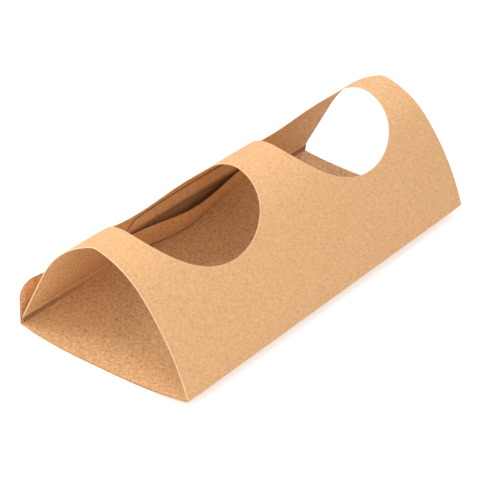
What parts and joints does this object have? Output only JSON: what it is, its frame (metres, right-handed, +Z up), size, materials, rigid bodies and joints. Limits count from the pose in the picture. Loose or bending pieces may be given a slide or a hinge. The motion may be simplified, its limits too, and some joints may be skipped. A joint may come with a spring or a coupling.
{
  "type": "cardboard cup carrier",
  "caption": "Folded kraft board carrier: a long tunnel with round cup holes over its top fold, closed by an arched lock tab in a slit of the back wall.",
  "frame": {"origin": "bottom centre of the carrier's box, on the ground under the middle of the base", "axes": "+X along the length and the top fold, -Y is the front panel, +Z up"},
  "size_m": [0.22, 0.1036, 0.0644],
  "materials": {
    "kraft_board": "matte uncoated kraft board"
  },
  "bodies": {
    "root": {"carrier_sheet": "kraft_board"}
  },
  "joints": []
}
